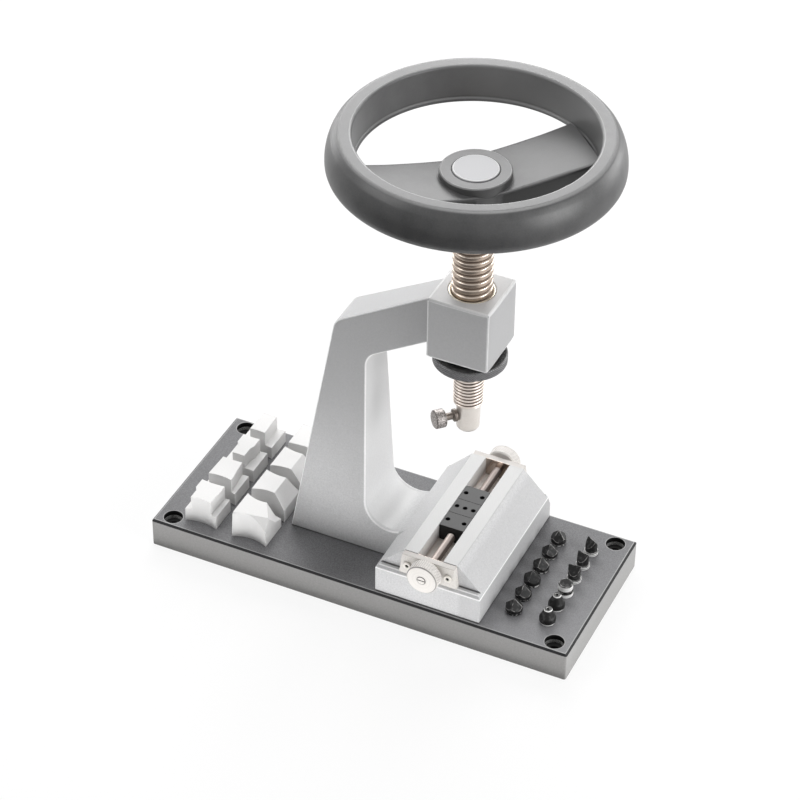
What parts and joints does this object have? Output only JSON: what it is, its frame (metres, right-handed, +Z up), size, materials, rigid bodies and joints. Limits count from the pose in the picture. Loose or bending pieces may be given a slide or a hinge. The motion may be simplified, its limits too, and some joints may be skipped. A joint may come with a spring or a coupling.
{
  "type": "bench watch case opener",
  "caption": "Press-and-turn opener for screw-down watch backs: C-frame, handwheel spindle in a threaded feed sleeve, self-centring vise, parked nylon holders and chucks",
  "frame": {"origin": "Middle of the base plate's underside, on the bench", "axes": "X runs along the plate from the nylon holders to the chucks, Y goes away from the user along the vise screw, Z is up along the spindle"},
  "size_m": [0.3014, 0.1802, 0.3529],
  "materials": {
    "plate": "satin grey, milled",
    "casting": "cast aluminium under silver-grey paint",
    "steel": "turned and nickel plated",
    "jaw_steel": "blackened, ground top",
    "screws": "plain steel",
    "bronze": "bearing bronze",
    "ring_black": "black anodised",
    "wheel_grey": "satin grey plastic",
    "cap_silver": "silver",
    "nylon": "natural white nylon",
    "chuck_black": "blackened tool steel"
  },
  "bodies": {
    "base": {"base_plate": "plate", "frame_casting": "casting", "frame_bolts": "screws", "feed_bush": "bronze", "thrust_plate_front": "steel", "thrust_plate_rear": "steel", "plate_screws_front": "screws", "plate_screws_rear": "screws", "jaw_middle": "jaw_steel", "jaw_dowels": "screws"},
    "bearing": {"thrust_bearing": "steel"},
    "sleeve": {"feed_sleeve": "steel", "feed_ring": "ring_black", "ring_screw": "screws"},
    "wheel": {"handwheel": "wheel_grey", "spindle": "steel", "hub_nut": "screws", "hub_cap": "cap_silver"},
    "thumbscrew": {"thumb_screw": "screws"},
    "vise_drive": {"vise_screw": "steel", "knob_front": "steel", "knob_rear": "steel", "knob_screw_front": "screws", "knob_screw_rear": "screws"},
    "front_jaw": {"jaw_front": "jaw_steel"},
    "rear_jaw": {"jaw_rear": "jaw_steel"},
    "holder_1": {"block_1": "nylon"},
    "holder_2": {"block_2": "nylon"},
    "holder_3": {"block_3": "nylon"},
    "holder_4": {"block_4": "nylon"},
    "holder_5": {"block_5": "nylon"},
    "holder_6": {"block_6": "nylon"},
    "holder_7": {"block_7": "nylon"},
    "holder_8": {"block_8": "nylon"},
    "insert_1": {"chuck_1": "chuck_black"},
    "insert_2": {"chuck_2": "chuck_black"},
    "insert_3": {"chuck_3": "chuck_black"},
    "insert_4": {"chuck_4": "chuck_black"},
    "insert_5": {"chuck_5": "chuck_black"},
    "insert_6": {"chuck_6": "chuck_black"},
    "insert_7": {"chuck_7": "chuck_black"},
    "insert_8": {"chuck_8": "chuck_black"},
    "insert_9": {"chuck_9": "chuck_black"},
    "insert_10": {"chuck_10": "chuck_black"},
    "insert_11": {"chuck_11": "chuck_black"},
    "insert_12": {"chuck_12": "chuck_black"}
  },
  "joints": [
    {"name": "feed", "type": "slide", "parent": "base", "child": "bearing", "axis": [0, 0, 1], "range_m": [-0.055, 0.003]},
    {"name": "sleeve_turn", "type": "hinge", "parent": "bearing", "child": "sleeve", "pos_m": [0.0515, 0, 0.19], "axis": [0, 0, 1], "range_deg": [-3970, 226]},
    {"name": "wheel_turn", "type": "hinge", "parent": "bearing", "child": "wheel", "pos_m": [0.0515, 0, 0.3], "axis": [0, 0, 1], "continuous": true},
    {"name": "thumb_turn", "type": "hinge", "parent": "wheel", "child": "thumbscrew", "pos_m": [0.0515, 0, 0.1412], "axis": [-0.6947, -0.7193, 0], "range_deg": [-720, 360]},
    {"name": "vise_turn", "type": "hinge", "parent": "base", "child": "vise_drive", "pos_m": [0.0515, 0, 0.0522], "axis": [0, 1, 0], "range_deg": [0, 11150]},
    {"name": "front_jaw_slide", "type": "slide", "parent": "base", "child": "front_jaw", "axis": [0, -1, 0], "range_m": [0, 0.031]},
    {"name": "rear_jaw_slide", "type": "slide", "parent": "base", "child": "rear_jaw", "axis": [0, 1, 0], "range_m": [0, 0.031]},
    {"name": "holder_1_lift", "type": "slide", "parent": "base", "child": "holder_1", "axis": [0, 0, 1], "range_m": [0, 0.03]},
    {"name": "holder_2_lift", "type": "slide", "parent": "base", "child": "holder_2", "axis": [0, 0, 1], "range_m": [0, 0.03]},
    {"name": "holder_3_lift", "type": "slide", "parent": "base", "child": "holder_3", "axis": [0, 0, 1], "range_m": [0, 0.03]},
    {"name": "holder_4_lift", "type": "slide", "parent": "base", "child": "holder_4", "axis": [0, 0, 1], "range_m": [0, 0.03]},
    {"name": "holder_5_lift", "type": "slide", "parent": "base", "child": "holder_5", "axis": [0, 0, 1], "range_m": [0, 0.03]},
    {"name": "holder_6_lift", "type": "slide", "parent": "base", "child": "holder_6", "axis": [0, 0, 1], "range_m": [0, 0.03]},
    {"name": "holder_7_lift", "type": "slide", "parent": "base", "child": "holder_7", "axis": [0, 0, 1], "range_m": [0, 0.03]},
    {"name": "holder_8_lift", "type": "slide", "parent": "base", "child": "holder_8", "axis": [0, 0, 1], "range_m": [0, 0.03]},
    {"name": "insert_1_lift", "type": "slide", "parent": "base", "child": "insert_1", "axis": [0, 0, 1], "range_m": [0, 0.035]},
    {"name": "insert_2_lift", "type": "slide", "parent": "base", "child": "insert_2", "axis": [0, 0, 1], "range_m": [0, 0.035]},
    {"name": "insert_3_lift", "type": "slide", "parent": "base", "child": "insert_3", "axis": [0, 0, 1], "range_m": [0, 0.035]},
    {"name": "insert_4_lift", "type": "slide", "parent": "base", "child": "insert_4", "axis": [0, 0, 1], "range_m": [0, 0.035]},
    {"name": "insert_5_lift", "type": "slide", "parent": "base", "child": "insert_5", "axis": [0, 0, 1], "range_m": [0, 0.035]},
    {"name": "insert_6_lift", "type": "slide", "parent": "base", "child": "insert_6", "axis": [0, 0, 1], "range_m": [0, 0.035]},
    {"name": "insert_7_lift", "type": "slide", "parent": "base", "child": "insert_7", "axis": [0, 0, 1], "range_m": [0, 0.035]},
    {"name": "insert_8_lift", "type": "slide", "parent": "base", "child": "insert_8", "axis": [0, 0, 1], "range_m": [0, 0.035]},
    {"name": "insert_9_lift", "type": "slide", "parent": "base", "child": "insert_9", "axis": [0, 0, 1], "range_m": [0, 0.035]},
    {"name": "insert_10_lift", "type": "slide", "parent": "base", "child": "insert_10", "axis": [0, 0, 1], "range_m": [0, 0.035]},
    {"name": "insert_11_lift", "type": "slide", "parent": "base", "child": "insert_11", "axis": [0, 0, 1], "range_m": [0, 0.035]},
    {"name": "insert_12_lift", "type": "slide", "parent": "base", "child": "insert_12", "axis": [0, 0, 1], "range_m": [0, 0.035]}
  ],
  "couplings": [
    {"joint": "sleeve_turn", "follows": "feed", "rad_per_m": 1256.6},
    {"joint": "front_jaw_slide", "follows": "vise_turn", "m_per_rad": 0.00015915},
    {"joint": "rear_jaw_slide", "follows": "vise_turn", "m_per_rad": 0.00015915}
  ]
}
